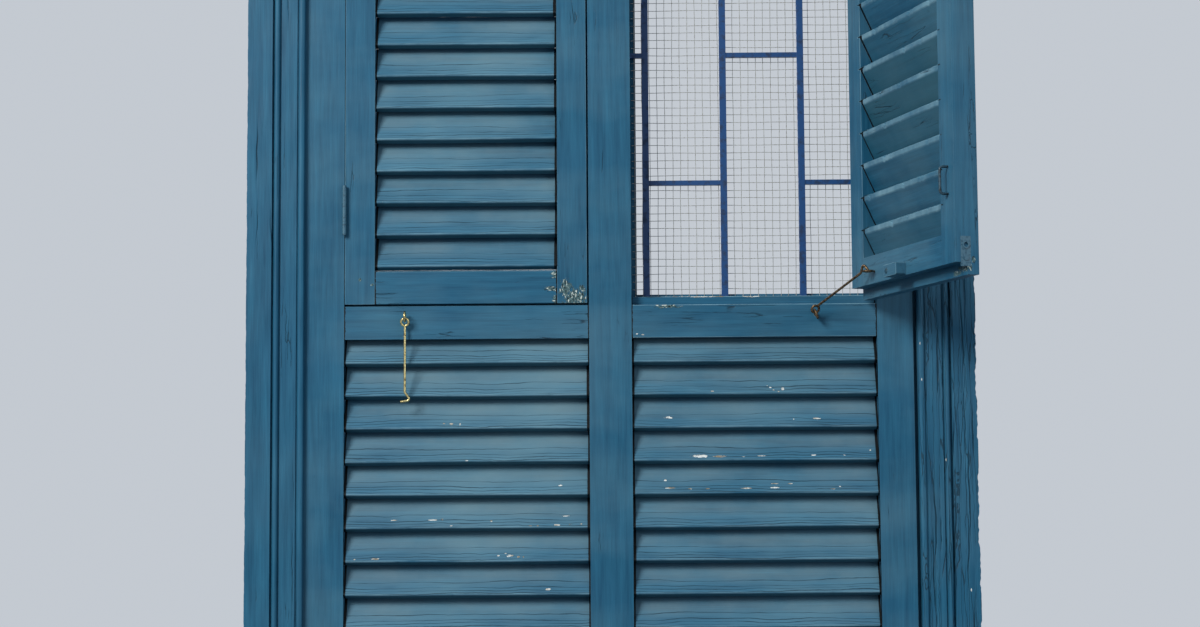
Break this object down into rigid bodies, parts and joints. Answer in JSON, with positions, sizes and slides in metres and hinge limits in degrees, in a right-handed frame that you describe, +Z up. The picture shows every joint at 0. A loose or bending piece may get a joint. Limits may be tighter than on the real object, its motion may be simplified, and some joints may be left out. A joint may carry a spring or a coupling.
{
  "type": "louvred window shutters with frame",
  "caption": "Wooden window frame with two outward-opening louvred shutter leaves over fixed louvres, an iron grille and mesh behind, and cabin hooks that hold the leaves open.",
  "frame": {"origin": "on the front face of the frame, in the middle of the mullion's width, level with the top front edge of the middle rails", "axes": "+X to the viewer's right along the wall, +Y into the wall, +Z up"},
  "size_m": [1.199, 0.5003, 1.6097],
  "materials": {
    "blue_paint": "weathered satin paint on wood",
    "hinge_paint": "painted over",
    "grille_paint": "gloss paint",
    "wire": "dull galvanised",
    "brass": "brassed steel",
    "dark_brass": "tarnished",
    "fitting_iron": "dark, partly painted"
  },
  "bodies": {
    "frame": {"sill": "blue_paint", "left_jamb": "blue_paint", "right_jamb": "blue_paint", "mullion": "blue_paint", "head": "blue_paint", "left_mid_rail": "blue_paint", "right_mid_rail": "blue_paint", "left_bottom_rail": "blue_paint", "right_bottom_rail": "blue_paint", "left_fixed_louvres": "blue_paint", "right_fixed_louvres": "blue_paint", "left_casing": "blue_paint", "right_casing": "blue_paint", "head_casing": "blue_paint", "left_grille": "grille_paint", "right_grille": "grille_paint", "left_mesh": "wire", "right_mesh": "wire", "left_mesh_beads": "blue_paint", "right_mesh_beads": "blue_paint", "left_rail_eye": "brass", "right_rail_eye": "dark_brass", "left_lower_hinge_jamb_plate": "hinge_paint", "left_lower_hinge_pin": "hinge_paint", "left_upper_hinge_jamb_plate": "hinge_paint", "left_upper_hinge_pin": "hinge_paint", "right_lower_hinge_jamb_plate": "hinge_paint", "right_lower_hinge_pin": "hinge_paint", "right_upper_hinge_jamb_plate": "hinge_paint", "right_upper_hinge_pin": "hinge_paint"},
    "left_leaf": {"left_hinge_stile": "blue_paint", "left_meeting_stile": "blue_paint", "left_leaf_top_rail": "blue_paint", "left_leaf_bottom_rail": "blue_paint", "left_leaf_louvres": "blue_paint", "left_leaf_eye": "dark_brass", "left_lower_hinge_leaf_plate": "hinge_paint", "left_upper_hinge_leaf_plate": "hinge_paint"},
    "right_leaf": {"right_hinge_stile": "blue_paint", "right_meeting_stile": "blue_paint", "right_leaf_top_rail": "blue_paint", "right_leaf_bottom_rail": "blue_paint", "right_leaf_louvres": "blue_paint", "right_leaf_eye": "dark_brass", "right_lower_hinge_leaf_plate": "hinge_paint", "right_upper_hinge_leaf_plate": "hinge_paint", "right_leaf_turn_button": "blue_paint", "right_leaf_pull": "fitting_iron", "right_leaf_edge_plate": "fitting_iron"},
    "left_hook": {"left_hook": "brass"},
    "right_hook": {"right_hook": "dark_brass"}
  },
  "joints": [
    {"name": "left_leaf_swing", "type": "hinge", "parent": "frame", "child": "left_leaf", "pos_m": [-0.431, -0.0056, 0.376], "axis": [0, 0, -1], "range_deg": [0, 165]},
    {"name": "right_leaf_swing", "type": "hinge", "parent": "frame", "child": "right_leaf", "pos_m": [0.431, -0.0056, 0.376], "axis": [0, 0, -1], "range_deg": [0, 106.3]},
    {"name": "left_hook_swing", "type": "hinge", "parent": "frame", "child": "left_hook", "pos_m": [-0.332, -0.01137, -0.02503], "axis": [0, -0.9367, -0.35], "range_deg": [0, 140]},
    {"name": "right_hook_swing", "type": "hinge", "parent": "frame", "child": "right_hook", "pos_m": [0.32961, -0.01792, -0.01207], "axis": [0.196, -0.8523, -0.485], "range_deg": [0, 208.5]}
  ],
  "couplings": [
    {"joint": "right_hook_swing", "follows": "right_leaf_swing", "ratio": 1.9563}
  ]
}
